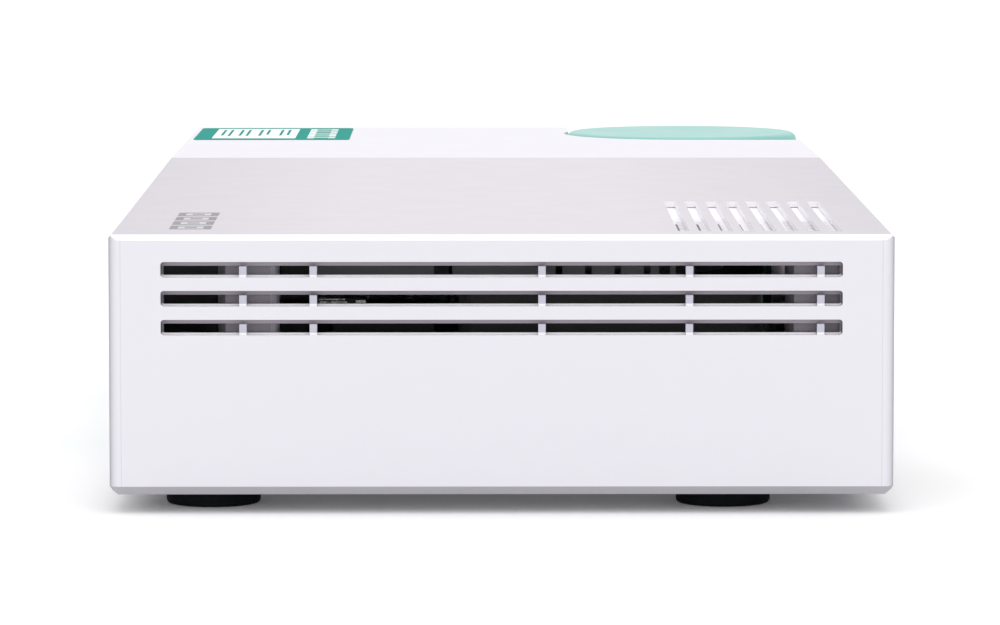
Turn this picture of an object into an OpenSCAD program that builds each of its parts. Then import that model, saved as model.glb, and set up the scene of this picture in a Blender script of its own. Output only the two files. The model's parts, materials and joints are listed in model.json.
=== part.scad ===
// Low, wide desktop storage box with four slide-in drive trays.
// Frame: origin at the middle of the footprint on the floor, +Z up,
// -Y is the front (drive trays), +X the end wall with the three long slots.

/* [Casing] */
// Length of the casing
body_l = 290; // [288:1:292]
// Depth of the casing, front to rear
body_d = 127; // [126.5:0.5:128]
// Height of the flat rear part of the roof above the floor
roof_z = 47.2; // [47:0.1:48]
// Place of the fold across the roof
fold_x = -33; // [-45:1:-20]
// Fall of the roof from the fold to the slotted end, in degrees
roof_fall = 0.63; // [0.5:0.01:0.8]
// Wall thickness of the mouldings
wall = 2; // [1.8:0.1:2.2]
// Radius of the four upright corners
corner_r = 2; // [1.5:0.1:2.5]
// Chamfer of the roof above both end walls
roof_chamfer = 0.95; // [0.6:0.05:1.1]
// Chamfer of the roof above the front and the rear
side_chamfer = 0.6; // [0.4:0.1:0.9]
// Chamfer around the underside
floor_chamfer = 1.4; // [1:0.05:1.5]

/* [Rubber feet] */
// Height of the feet
foot_h = 3; // [2.8:0.1:3.2]
// Diameter of the feet
foot_d = 15.5; // [14:0.5:17]
// Distance of the feet from the middle along X
foot_x = 129.2; // [126:0.2:130]
// Front feet, Y
foot_front_y = -47.3; // [-50:0.1:-45]
// Rear feet, Y
foot_rear_y = 36.5; // [34:0.5:40]

/* [Openings] */
// Length of the long slots
slot_l = 110; // [109:0.5:111]
// Height of each long slot
slot_h = 2.5; // [2.2:0.1:2.8]
// Distance from slot to slot
slot_pitch = 4.68; // [4.4:0.02:4.9]
// Top edge of the highest slot above the floor
slot_top = 40.85; // [40.6:0.05:41]
// Number of roof vents
vent_count = 8; // [4:1:8]
// Width of each roof vent
vent_w = 2; // [1.5:0.1:2.2]
// Distance from vent to vent
vent_pitch = 3.54; // [3.2:0.02:3.6]
// Length of each roof vent
vent_l = 61; // [50:1:61]

/* [Corner post] */
// Radius of the round corner post
post_r = 24.1; // [23.9:0.1:24.3]
// Height of the post above the roof
post_rise = 0.4; // [0.2:0.1:1]
// Gap around the post
post_gap = 0.5; // [0.4:0.1:0.8]

/* [Drive bays] */
// Distance between the two columns of bays
bay_pitch = 76; // [75.8:0.1:76.4]
// Distance between the two levels of bays
level_pitch = 16.5; // [16.4:0.1:17]
// Width of a tray
tray_w = 74; // [73.8:0.1:74]
// Height of a tray front
tray_h = 15; // [14.6:0.1:15.2]
// Thickness of a drive
drive_h = 9.5; // [7:0.5:9.5]

/* [Hidden] */
$fn = 48;
half_l = body_l / 2;
half_d = body_d / 2;
big = 600;
eps = 0.01;
seam = 0.1;              // visible joint between mouldings
rim_h = roof_chamfer + 0.4;   // depth of the roof's rim over the front and rear plates
gap = 0.4;               // clearance around parts that slide or turn
floor_z = foot_h;        // underside of the casing
shell_z = floor_z + floor_chamfer;
base_top = floor_z + wall;
inner_x = half_l - wall;
inner_y = half_d - wall;
plate_x = half_l - 3.2;   // half length of the front and rear plates
post_x = -half_l + post_r + 1;
post_y = half_d - post_r;
post_top = roof_z + post_rise;
notch_y = post_y - 23.6;  // straight edge of the corner notch
vent_x1 = half_l - 7.4;   // ends and first edge of the roof vents
vent_y0 = 28.6;
vent_t = 1;               // thickness of the roof at the vents

// Drive bays, counted from the left end
bay_x = [-50, -50 + bay_pitch];
tray_z0 = 7.5;
cage_wall = 1;
cage_left = bay_x[0] - bay_pitch / 2;
cage_right = bay_x[1] + bay_pitch / 2;
cage_mid = (bay_x[0] + bay_x[1]) / 2;
cage_front = -59;
cage_rear = 44;
cage_top = tray_z0 + 2 * level_pitch;
window_w = tray_w + 2 * gap;
window_h = level_pitch + tray_h + 2 * gap;
tray_front_y = -half_d + 0.3;
tray_front_t = 3.4;
tray_rear_y = 43;
tray_side_t = 1.7;
tray_floor_t = 1.4;
tray_side_h = 8;
drive_w = 69.85;
drive_l = 100;
drive_y0 = -58;
lever_l = 30;
lever_h = 8;
lever_t = 2;
lever_pin_r = 0.6;
lever_y = tray_front_y + 1.2;   // hinge line of the levers

// Main board, on standoffs at the slotted end
board_x0 = 67;
board_x1 = 132;
board_y0 = -58;
board_y1 = 61;
board_z = 8;
board_t = 1.6;
board_top = board_z + board_t;
board_hole_x = [71, 128];
board_hole_y = [-54, 40];

// Round blower over the main board
blower_x = 106;
blower_y = 18;
blower_w = 50;
blower_z = 24;
blower_h = 13;
blower_lid_t = 1;
chamber_r = 22;
rotor_r = 20;
leg_x = 22;              // legs of the blower, from its middle
leg_y = 17;
leg_r = 2.2;
blower_floor = 1.2;      // thickness of the housing's floor
blower_hole = 21.5;      // fixing holes, from its middle
shaft_r = 1;

// Bosses that join the casing halves: [x, y]
bosses = [[138.6, -41], [138.6, 51], [-138.6, -45], [-88.5, 55]];
boss_r = 5;
boss_pilot_r = 1.1;

// Shared hardware
screw_hole_r = 1.25;
shield_metal = [0.78, 0.79, 0.8];
board_green = [0.1, 0.36, 0.24];
black = [0.1, 0.1, 0.11];

// ---------------------------------------------------------------- outer form

module rounded_rect(l, d, r) {
    square([l, d - 2 * r], center = true);
    square([l - 2 * r, d], center = true);
    for (x = [-1, 1], y = [-1, 1])
        translate([x * (l / 2 - r), y * (d / 2 - r)]) circle(r);
}

// Everything under a 45 degree bevel whose upper face is at the local z = 0
module under_bevels(chamfer) {
    for (s = [-1, 1])
        translate([0, s * (half_d - chamfer), 0]) rotate([s * -45, 0, 0])
            translate([-big, -big, 0]) cube([2 * big, 2 * big, big]);
}

// The space above the roof lowered by drop, with its bevels when chamfer > 0
module above_roof(drop, chamfer = 0) {
    translate([0, 0, roof_z - drop]) {
        translate([-big, -big, 0]) cube([2 * big, 2 * big, big]);
        if (chamfer > 0) under_bevels(chamfer);
    }
    translate([fold_x, 0, roof_z - drop]) rotate([0, roof_fall, 0]) {
        translate([-big, -big, 0]) cube([2 * big, 2 * big, big]);
        if (chamfer > 0) under_bevels(chamfer);
    }
}

module end_bevels() {
    end_z = roof_z - (half_l - fold_x) * tan(roof_fall);
    translate([half_l - roof_chamfer, 0, end_z]) rotate([0, 45, 0])
        translate([-big, -big, 0]) cube([2 * big, 2 * big, big]);
    translate([-half_l + roof_chamfer, 0, roof_z]) rotate([0, -45, 0])
        translate([-big, -big, 0]) cube([2 * big, 2 * big, big]);
}

// The corner notch around the post, grown by g
module notch(g = 0) {
    translate([post_x, post_y]) circle(post_r + post_gap + g);
    translate([-half_l - big, notch_y - g]) square([big + half_l + post_x, big]);
    translate([-half_l - big, post_y]) square([big + half_l + post_x + post_r + post_gap + g, big]);
}

// The casing above shell_z, roof bevels included, with the corner notch
module casing_form() {
    difference() {
        translate([0, 0, shell_z]) linear_extrude(60)
            difference() {
                rounded_rect(body_l, body_d, corner_r);
                notch();
            }
        above_roof(0, side_chamfer);
        end_bevels();
    }
}

// ------------------------------------------------------------------- slots

slot_ribs = [-41.75, -30.4, 6.5, 30.3, 51.5];   // middles of the upright ribs
rib_w = 1.2;
rib_inset = 0.25;

// A long flat slot with round ends, along X, through z = 0, centred
module slot_plan(l, h) {
    square([l - h, h], center = true);
    for (s = [-1, 1]) translate([s * (l - h) / 2, 0]) circle(h / 2);
}

// One row of the recessed end slots: a shallow trough with the opening in its lower part,
// crossed by ribs that stand nearly flush below the trough's shaded upper band
module end_slot() {
    trough = 1.4;
    band_h = 0.28 * slot_h;
    open_h = 0.6 * slot_h;
    difference() {
        union() {
            translate([half_l - trough, 0, -slot_h / 2]) rotate([90, 0, 90])
                linear_extrude(wall) rounded_rect(slot_l, slot_h, 0.5);
            translate([inner_x - 1, -slot_l / 2 + gap, -band_h - open_h])
                cube([wall + 2, slot_l - 2 * gap, open_h]);
        }
        for (y = slot_ribs)
            translate([inner_x - 2, y - rib_w / 2, -slot_h - 1])
                cube([2 + wall - rib_inset, rib_w, slot_h + 1 - band_h]);
    }
}

module slot_rows() {
    for (i = [0:2]) translate([0, 0, slot_top - i * slot_pitch]) children();
}

// Plain through slots in a wall that faces Y, from x0, each l long
module wall_slots(x0, l, y) {
    slot_rows()
        translate([x0 + l / 2, y, -slot_h / 2]) rotate([90, 0, 0])
            translate([0, 0, -big / 20]) linear_extrude(big / 10) slot_plan(l, 1.6);
}

// Shallow pocket under the roof that holds the dust screen
module screen_pocket(drop, g = 0) {
    l = vent_l + 4;
    w = vent_count * vent_pitch + 2.4;
    translate([fold_x, 0, roof_z - drop]) rotate([0, roof_fall, 0])
        translate([vent_x1 + 1 - l - fold_x - g, vent_y0 - 2 - g, 0]) difference() {
            translate([0, 0, -3]) cube([l + 2 * g, w + 2 * g, 3]);
            translate([bosses[1][0] - vent_x1 - 1 + l + g, bosses[1][1] - vent_y0 + 2 + g, -9])
                cylinder(h = 20, r = boss_r + gap - g);
        }
}

module roof_vents() {
    for (i = [0:vent_count - 1])
        translate([vent_x1 - vent_l, vent_y0 + i * vent_pitch, roof_z - 6])
            cube([vent_l, vent_w, 12]);
}

// ------------------------------------------------------------------ casing

module boss_posts(z0, z1, r) {
    for (b = bosses) translate([b[0], b[1], z0]) cylinder(h = z1 - z0, r = r);
}

module top_shell() {
    color([0.93, 0.92, 0.94]) difference() {
        casing_form();
        // inner space, open to the front and the rear
        difference() {
            translate([-inner_x, -inner_y, -eps]) cube([2 * inner_x, 2 * inner_y, 80]);
            above_roof(wall);
            translate([0, 0, -1]) linear_extrude(80) notch(wall);
            boss_posts(base_top, 80, boss_r);
        }
        // seats of the front bezel and the rear panel, under the roof rim
        difference() {
            for (s = [-1, 1])
                translate([-plate_x - seam, s > 0 ? inner_y - seam : -big - inner_y + seam, -eps])
                    cube([2 * plate_x + 2 * seam, big, 80]);
            above_roof(rim_h);
            translate([0, 0, -1]) linear_extrude(80) notch(wall);
        }
        slot_rows() end_slot();
        roof_vents();
        screen_pocket(vent_t, 0.15);
        boss_posts(-eps, base_top + 8, boss_pilot_r);
    }
}

// A plate that closes the front (s = -1) or the rear (s = 1) between the end walls
module closing_plate(s) {
    difference() {
        translate([0, 0, shell_z]) linear_extrude(60)
            intersection() {
                difference() {
                    rounded_rect(body_l, body_d, corner_r);
                    notch(wall + seam);
                }
                translate([-plate_x, s > 0 ? inner_y : -half_d]) square([2 * plate_x, wall]);
            }
        above_roof(rim_h + seam);
    }
}

module y_hole(x, z, r, s) {
    translate([x, s * half_d, z]) rotate([90, 0, 0]) translate([0, 0, -10]) cylinder(h = 20, r = r);
}

module y_window(x, z0, w, h, s) {
    translate([x - w / 2, s * half_d - 5, z0]) cube([w, 10, h]);
}

// Front controls, on the left
button_x = -118;
power_z = 31;
copy_z = 13.5;
copy_x = -131;
usb_x = -112;
usb_z = 10.5;
usb_w = 13.2;
usb_h = 5.8;
usb_l = 14;
light_x = -99;
light_z = [12, 18, 24, 30, 36];
light_r = 1;
power_r = 5;
copy_r = 3.5;
button_travel = 1;

module front_bezel() {
    color([0.94, 0.93, 0.95]) difference() {
        closing_plate(-1);
        for (x = bay_x) y_window(x, tray_z0 - gap, window_w, window_h, -1);
        y_hole(button_x, power_z, power_r + 0.3, -1);
        y_hole(copy_x, copy_z, copy_r + 0.3, -1);
        for (z = light_z) y_hole(light_x, z, light_r + 0.05, -1);
        y_window(usb_x, usb_z - 0.2, usb_w + 0.4, usb_h + 0.4, -1);
        wall_slots(70, 60, -half_d);
    }
}

// Rear connectors, on the right as seen from above
dc_x = 75.5;
dc_z = 17;
lan_x = [91, 108];
lan_w = 16;
lan_h = 13.5;
lan_l = 17;
port_rear = half_d - 0.6;
rear_usb_x = 124;
rear_usb_h = 7.2;
reset_z = 30;

module rear_panel() {
    color([0.94, 0.93, 0.95]) difference() {
        closing_plate(1);
        for (x = lan_x) y_window(x, board_top - 0.2, lan_w + 0.4, lan_h + 0.4, 1);
        y_window(rear_usb_x, board_top + 0.3, usb_w + 0.4, rear_usb_h, 1);
        y_hole(dc_x, dc_z, 4.3, 1);
        y_hole(dc_x, reset_z, 1.5, 1);
        wall_slots(84, 50, half_d);
        wall_slots(-70, 60, half_d);
        wall_slots(0, 60, half_d);
        // security lock slot
        y_window(-82, 20, 7, 3.2, 1);
    }
}

module base_plate() {
    side = sqrt(2) * floor_chamfer;
    color([0.92, 0.91, 0.93]) difference() {
        union() {
            difference() {
                translate([0, 0, floor_z]) linear_extrude(floor_chamfer)
                    difference() {
                        rounded_rect(body_l, body_d, corner_r);
                        notch();
                    }
                for (s = [-1, 1]) {
                    translate([0, s * (half_d - floor_chamfer), floor_z]) rotate([s * 45, 0, 0])
                        translate([-big, s > 0 ? 0 : -big, -big]) cube([2 * big, big, big]);
                    translate([s * (half_l - floor_chamfer), 0, floor_z]) rotate([0, s * -45, 0])
                        translate([s > 0 ? 0 : -big, -big, -big]) cube([big, 2 * big, big]);
                }
            }
            // the floor stands proud inside the walls
            translate([0, 0, shell_z - eps]) linear_extrude(base_top - shell_z + eps)
                difference() {
                    square([2 * inner_x - 0.4, 2 * inner_y - 0.4], center = true);
                    notch(wall + 0.2);
                }
            // round floor under the corner post
            translate([post_x, post_y, floor_z])
                cylinder(h = floor_chamfer, r1 = post_r - floor_chamfer, r2 = post_r, $fn = 96);
            translate([post_x, notch_y - 2, floor_z]) cube([post_r, 20, floor_chamfer]);
            for (x = board_hole_x, y = board_hole_y)
                translate([x, y, base_top - eps]) cylinder(h = board_z - base_top + eps, r = 3);
        }
        for (x = board_hole_x, y = board_hole_y)
            translate([x, y, floor_z + 0.8]) cylinder(h = 20, r = screw_hole_r);
        for (b = bosses) {
            translate([b[0], b[1], 0]) cylinder(h = 20, r = 1.6);
            translate([b[0], b[1], floor_z - eps]) cylinder(h = 1, r = 2.8);
        }
        for (x = cage_screw_x, y = cage_screw_y) {
            translate([x, y, 0]) cylinder(h = 20, r = screw_hole_r);
            translate([x, y, floor_z - eps]) cylinder(h = 0.9, r = 2.2);
        }
    }
}

module corner_post() {
    rim = 1.6;
    color([0.55, 0.85, 0.8]) translate([post_x, post_y, 0]) rotate_extrude($fn = 96) difference() {
        union() {
            translate([0, shell_z]) square([post_r, post_top - rim - shell_z]);
            translate([0, post_top - rim - eps]) square([post_r - rim, rim + eps]);
            intersection() {
                translate([post_r - rim, post_top - rim]) circle(rim);
                translate([post_r - rim, post_top - rim]) square(rim);
            }
        }
        translate([-1, shell_z - 1]) square([post_r - wall + 1, post_top - wall - shell_z + 1]);
    }
}

module top_label() {
    l = 43;
    d = 32;
    color([0.3, 0.67, 0.62]) translate([-116.7, -45.8, roof_z])
        linear_extrude(0.15) rounded_rect(l, d, 1.2);
}

module rubber_feet() {
    soft = 0.4;
    color([0.13, 0.17, 0.16])
        for (x = [-foot_x, foot_x], y = [foot_front_y, foot_rear_y])
            translate([x, y, 0]) {
                translate([0, 0, soft]) cylinder(h = foot_h - soft, r = foot_d / 2);
                cylinder(h = soft, r1 = foot_d / 2 - soft, r2 = foot_d / 2);
            }
}

// A screw with its head at the bottom, pointing up
module screw_up(r, l, head_r, head_h) {
    difference() {
        union() {
            cylinder(h = head_h, r = head_r);
            translate([0, 0, head_h - eps]) cylinder(h = l + eps, r = r);
        }
        for (a = [0, 90]) rotate([0, 0, a]) translate([-1.4, -0.25, -eps]) cube([2.8, 0.5, 0.5]);
    }
}

module screw_down(r, l, head_r, head_h) {
    mirror([0, 0, 1]) screw_up(r, l, head_r, head_h);
}

module case_screws() {
    color("silver") for (b = bosses)
        translate([b[0], b[1], floor_z + 0.1]) screw_up(1.05, 8, 2.6, 0.85);
}

// -------------------------------------------------------------- drive bays

cage_screw_x = [cage_left + 5.5, cage_right - 5.5];
cage_screw_y = [-30, 30];

module drive_cage() {
    walls_x = [cage_left, cage_mid, cage_right];
    rail = 2;
    slit_pitch = 5.2;
    color([0.72, 0.73, 0.75]) difference() {
        union() {
            for (x = walls_x)
                translate([x - cage_wall / 2, cage_front, base_top])
                    cube([cage_wall, cage_rear - cage_front, cage_top - base_top]);
            translate([cage_left - cage_wall / 2, cage_front, cage_top])
                cube([cage_right - cage_left + cage_wall, cage_rear - cage_front, cage_wall]);
            // rails under both edges of every tray
            for (x = bay_x, s = [-1, 1], i = [0, 1])
                translate([x + s * (bay_pitch / 2 - cage_wall / 2 - rail / 2) - rail / 2,
                        cage_front, tray_z0 - 1.1 + i * level_pitch])
                    cube([rail, cage_rear - cage_front, 1]);
            // feet bent inwards, screwed to the base plate
            for (x = cage_screw_x, y = cage_screw_y)
                translate([x - 5, y - 5, base_top]) cube([10, 10, 1]);
        }
        // way for the cables under the walls
        translate([cage_left - 5, -52, base_top - 1]) cube([cage_right - cage_left + 4, 12, 1.8]);
        translate([cage_right - 2, -52, base_top - 1]) cube([5, 12, 8]);
        // slits in the outer walls and the lid
        for (i = [0:9]) translate([cage_left - 5, -40 + i * slit_pitch * 1.5, 25])
            cube([cage_right - cage_left + 10, 1.6, 9]);
        for (x = bay_x, i = [-4:4])
            translate([x + i * 7, -5, cage_top - 1]) linear_extrude(4)
                rotate(90) slot_plan(60, 2.5);
        for (x = cage_screw_x, y = cage_screw_y)
            translate([x, y, 0]) cylinder(h = 8, r = 1.1);
    }
}

module cage_screws() {
    color("silver") for (x = cage_screw_x, y = cage_screw_y)
        translate([x, y, floor_z + 0.1]) screw_up(1.05, 2.6, 2, 0.75);
}

function tray_x(i) = bay_x[i % 2];
function tray_z(i) = tray_z0 + floor(i / 2) * level_pitch;
function drive_z(i) = tray_z(i) + tray_floor_t + seam;
function hinge_x(i) = tray_x(i) + tray_w / 2 - 5;
function hinge_z(i) = tray_z(i) + tray_h / 2;

module tray(i) {
    x = tray_x(i);
    z = tray_z(i);
    back_y = tray_front_y + tray_front_t;
    pocket_y = lever_y + lever_t / 2 + gap;
    color([0.9, 0.9, 0.92]) {
        difference() {
            union() {
                translate([x - tray_w / 2, tray_front_y, z]) cube([tray_w, tray_front_t, tray_h]);
                translate([x - tray_w / 2, back_y - eps, z])
                    cube([tray_w, tray_rear_y - back_y, tray_floor_t]);
                for (s = [-1, 1])
                    translate([x + s * (tray_w - tray_side_t) / 2 - tray_side_t / 2, back_y - eps, z])
                        cube([tray_side_t, tray_rear_y - back_y, tray_side_h]);
            }
            // lever pocket
            translate([hinge_x(i) - lever_l - gap, tray_front_y - 1, hinge_z(i) - lever_h / 2 - gap])
                cube([lever_l + 1 + 2 * gap, pocket_y - tray_front_y + 1, lever_h + 2 * gap]);
            // vents in the tray front
            for (k = [-1:1])
                translate([x - 12, 0, z + tray_h / 2 + k * 4.2]) rotate([90, 0, 0])
                    translate([0, 0, half_d - 10]) linear_extrude(20) slot_plan(34, 1.6);
            // window in the tray floor
            translate([x, (tray_rear_y + back_y) / 2, z - 1]) linear_extrude(4)
                rounded_rect(50, 70, 6);
        }
        // hinge pin of the lever
        translate([hinge_x(i), lever_y, hinge_z(i) - lever_h / 2 - gap - 1])
            cylinder(h = lever_h + 2 * gap + 2, r = lever_pin_r);
    }
}

module lever(i) {
    x = hinge_x(i);
    z0 = hinge_z(i) - lever_h / 2;
    color([0.35, 0.72, 0.67]) difference() {
        union() {
            translate([x, lever_y, z0]) cylinder(h = lever_h, r = lever_t / 2);
            translate([x - lever_l, lever_y - lever_t / 2, z0]) cube([lever_l, lever_t, lever_h]);
        }
        translate([x, lever_y, z0 - 1]) cylinder(h = lever_h + 2, r = lever_pin_r + 0.05);
        // finger scoop
        translate([x - lever_l + 3, lever_y - lever_t / 2 - 2.2, z0 - 1])
            cylinder(h = lever_h + 2, r = 3);
    }
}

module drive(i) {
    x = tray_x(i);
    z = drive_z(i);
    color([0.16, 0.17, 0.19]) difference() {
        translate([x - drive_w / 2, drive_y0, z]) cube([drive_w, drive_l, drive_h]);
        // connector recess at the rear, label recess on top
        translate([x - 17, drive_y0 + drive_l - 4, z + 1]) cube([34, 10, 5]);
        translate([x - 27, drive_y0 + 15, z + drive_h - 0.3]) cube([54, 62, 2]);
    }
}

module tray_1() { tray(0); }
module tray_2() { tray(1); }
module tray_3() { tray(2); }
module tray_4() { tray(3); }
module drive_1() { drive(0); }
module drive_2() { drive(1); }
module drive_3() { drive(2); }
module drive_4() { drive(3); }
module tray_lever_1() { lever(0); }
module tray_lever_2() { lever(1); }
module tray_lever_3() { lever(2); }
module tray_lever_4() { lever(3); }

backplane_y = 46.5;

module backplane() {
    color([0.1, 0.35, 0.22]) difference() {
        translate([cage_left + 1, backplane_y, base_top + 1])
            cube([cage_right - cage_left - 2, board_t, cage_top - base_top - 2]);
        for (x = bay_x, s = [-1, 1], k = [0, 1])
            translate([x + s * 26, 40, tray_z0 + 7 + k * level_pitch]) rotate([90, 0, 0])
                translate([0, 0, -20]) linear_extrude(40) rotate(90) slot_plan(9, 6);
    }
}

module drive_sockets() {
    color([0.08, 0.08, 0.09]) for (i = [0:3]) {
        x = tray_x(i);
        z = drive_z(i);
        difference() {
            translate([x - 16.5, drive_y0 + drive_l - 3.5, z + 1.3])
                cube([33, backplane_y - drive_y0 - drive_l + 3.5, 4.4]);
            translate([x - 15, drive_y0 + drive_l - 4, z + 2.6]) cube([30, 3, 1.6]);
        }
    }
}

// --------------------------------------------------------------- main board

module main_board() {
    color(board_green) difference() {
        translate([board_x0, board_y0, board_z])
            cube([board_x1 - board_x0, board_y1 - board_y0, board_t]);
        for (x = board_hole_x, y = board_hole_y)
            translate([x, y, board_z - 1]) cylinder(h = 4, r = 1.5);
    }
}

module board_screws() {
    color("silver") for (x = board_hole_x, y = board_hole_y)
        translate([x, y, board_top + 1.3]) screw_down(1.2, 4.5, 2.4, 1.3);
}

chip_x = 96;
chip_y = -30;

module processor() {
    color([0.12, 0.12, 0.13]) translate([chip_x - 12, chip_y - 12, board_top]) {
        cube([24, 24, 1.4]);
        translate([4, 4, 1.4]) cube([16, 16, 0.8]);
    }
}

sink_l = 38;
sink_w = 44;
sink_z = board_top + 2.2;

module heat_sink() {
    fins = 12;
    fin_pitch = (sink_w - 1.2) / (fins - 1);
    color([0.2, 0.21, 0.22]) difference() {
        union() {
            translate([chip_x - sink_w / 2, chip_y - sink_l / 2, sink_z]) cube([sink_w, sink_l, 3]);
            for (i = [0:fins - 1])
                translate([chip_x - sink_w / 2 + i * fin_pitch, chip_y - sink_l / 2, sink_z + 3 - eps])
                    cube([1.2, sink_l, 14]);
        }
        // cross channel for the clip
        translate([chip_x - sink_w, chip_y - 2, sink_z + 3]) cube([2 * sink_w, 4, 20]);
    }
}

module sink_clip() {
    arm = sink_w / 2 + 1.2;
    color("silver") translate([chip_x, chip_y, 0]) {
        translate([-arm, -1.2, sink_z + 3]) cube([2 * arm, 2.4, 1]);
        for (s = [-1, 1])
            translate([s * (arm - 0.5) - 0.5, -1.2, board_top]) cube([1, 2.4, sink_z + 3.5 - board_top]);
    }
}

module memory_chips() {
    color(black) for (i = [0:3])
        translate([121, -50 + i * 12, board_top]) cube([8, 11, 1.2]);
}

module power_inductors() {
    color([0.3, 0.3, 0.32]) for (i = [0:2])
        translate([74, 6 + i * 12, board_top]) difference() {
            translate([-3.5, -3.5, 0]) cube([7, 7, 4]);
            translate([0, 0, 3.6]) cylinder(h = 1, r = 2.2);
        }
}

module capacitors() {
    color([0.75, 0.76, 0.78]) for (i = [0:3]) translate([92 + i * 9, 34, board_top]) {
        cylinder(h = 7.2, r = 3.15);
        translate([0, 0, 7.2 - eps]) cylinder(h = 0.5, r = 2.7);
    }
}

cell_x = 98;
cell_y = 18;

module cell_holder() {
    color([0.85, 0.84, 0.78]) translate([cell_x, cell_y, board_top]) difference() {
        cylinder(h = 4.4, r = 12);
        translate([0, 0, 1]) cylinder(h = 5, r = 10.3);
        translate([-4, 5, 2]) cube([8, 20, 5]);
    }
}

module coin_cell() {
    color("silver") translate([cell_x, cell_y, board_top + 1]) {
        cylinder(h = 2.4, r = 10);
        translate([0, 0, 2.4 - eps]) cylinder(h = 0.8, r = 8.8);
    }
}

// A shielded network socket: an open box with its contact tongue
module lan_ports() {
    hole_w = 11.7;
    hole_h = 8.6;
    hole_l = 12.5;
    color(shield_metal) for (x = lan_x) difference() {
        translate([x - lan_w / 2, port_rear - lan_l, board_top]) cube([lan_w, lan_l, lan_h]);
        translate([x - hole_w / 2, port_rear - hole_l, board_top + 2]) cube([hole_w, 20, hole_h]);
    }
}

module usb_port(w, h, l) {
    shell_t = 0.4;
    difference() {
        cube([w, l, h]);
        translate([shell_t, -1, shell_t]) cube([w - 2 * shell_t, l - 2, h - 2 * shell_t]);
    }
    translate([1, 1, h - 2.4]) cube([w - 2, l - 2, 1.4]);
}

module rear_usb_port() {
    color(shield_metal) translate([rear_usb_x, port_rear, board_top + 0.8])
        rotate([0, 0, 180]) translate([-usb_w / 2, 0, 0]) usb_port(usb_w, usb_h, usb_l);
}

module dc_jack() {
    jack_w = 9;
    jack_l = 13;
    color([0.09, 0.09, 0.1]) difference() {
        union() {
            translate([dc_x - jack_w / 2, port_rear - 2 - jack_l, board_top])
                cube([jack_w, jack_l, 11.5]);
            translate([dc_x, port_rear - 2, dc_z]) rotate([-90, 0, 0]) cylinder(h = 2, r = 4);
        }
        translate([dc_x, port_rear - 10, dc_z]) rotate([-90, 0, 0]) cylinder(h = 20, r = 3.15);
    }
    color("silver") translate([dc_x, port_rear - 10.5, dc_z]) rotate([-90, 0, 0]) {
        cylinder(h = 9, r = 1);
        translate([0, 0, 9 - eps]) cylinder(h = 0.5, r1 = 1, r2 = 0.6);
    }
}

module reset_button() {
    color([0.85, 0.85, 0.87]) translate([dc_x, inner_y, reset_z]) rotate([-90, 0, 0]) {
        translate([0, 0, -1.2]) cylinder(h = 1.1, r = 2.2);
        translate([0, 0, -0.2]) cylinder(h = 1.6, r = 1.2);
    }
}

module reset_switch() {
    switch_y = inner_y - 1.2 - 0.7;
    color([0.12, 0.12, 0.13]) {
        translate([dc_x - 3, switch_y - 4, reset_z - 3]) cube([6, 3.5, 6]);
        translate([dc_x, switch_y - 0.5 - eps, reset_z]) rotate([-90, 0, 0]) cylinder(h = 0.1, r = 1.2);
    }
    // upright carrier board, soldered to the main board behind the inlet
    color(board_green) translate([dc_x - 4, switch_y - 5.2, board_top + 11.6])
        cube([8, 1.2, reset_z + 3 - board_top - 11.6]);
}

// ------------------------------------------------------------------- blower

module blower_housing() {
    color(black) translate([blower_x, blower_y, blower_z]) difference() {
        linear_extrude(blower_h - blower_lid_t) rounded_rect(blower_w, blower_w, 3);
        translate([0, 0, blower_floor]) cylinder(h = blower_h, r = chamber_r);
        translate([-chamber_r, 0, blower_floor]) cube([30, blower_w, blower_h]);
        cylinder(h = 10, r = shaft_r + 0.05, center = true);
        for (s = [-1, 1]) translate([s * blower_hole, -blower_hole, -1]) cylinder(h = 20, r = 1.6);
    }
    // legs on the main board
    color(black) for (x = [-1, 1], y = [-1, 1])
        translate([blower_x + x * leg_x, blower_y + y * leg_y, board_top])
            cylinder(h = blower_z - board_top + eps, r = leg_r);
}

module blower_lid() {
    color([0.13, 0.13, 0.14])
        translate([blower_x, blower_y, blower_z + blower_h - blower_lid_t]) linear_extrude(blower_lid_t)
            difference() {
                rounded_rect(blower_w, blower_w, 3);
                circle(17, $fn = 96);
                for (s = [-1, 1]) translate([s * blower_hole, -blower_hole]) circle(1.6);
            }
}

module blower_motor() {
    color([0.55, 0.4, 0.25]) translate([blower_x, blower_y, blower_z + blower_floor]) difference() {
        cylinder(h = 5.5, r = 8);
        cylinder(h = 20, r = shaft_r + 0.3, center = true);
    }
}

module blower_rotor() {
    blades = 19;
    color([0.18, 0.18, 0.2]) translate([blower_x, blower_y, blower_z]) {
        difference() {
            translate([0, 0, 1.9]) cylinder(h = 9.4, r = 10.4);
            translate([0, 0, 1]) cylinder(h = 9, r = 9);
        }
        translate([0, 0, 0.2]) cylinder(h = 10, r = shaft_r);
        difference() {
            translate([0, 0, 1.9]) cylinder(h = 1, r = rotor_r);
            cylinder(h = 8, r = 10);
        }
        for (i = [0:blades - 1]) rotate([0, 0, i * 360 / blades])
            translate([12.5, 0, 2.4]) rotate([0, 0, 35]) cube([8, 0.9, 8.6]);
        difference() {
            translate([0, 0, 10.2]) cylinder(h = 0.9, r = rotor_r);
            translate([0, 0, 5]) cylinder(h = 8, r = rotor_r - 1.6);
        }
    }
}

// Upright walls of the air guide: [from y, to y], and their slits: [y, width]
skirt_spans = [[-30, -11], [-8, 31.5]];
skirt_slits = [[8.8, 1.1], [13.6, 1.1], [18.4, 1.1], [23.2, 1.1], [25.7, 1.8], [28.4, 1.6]];

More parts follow.
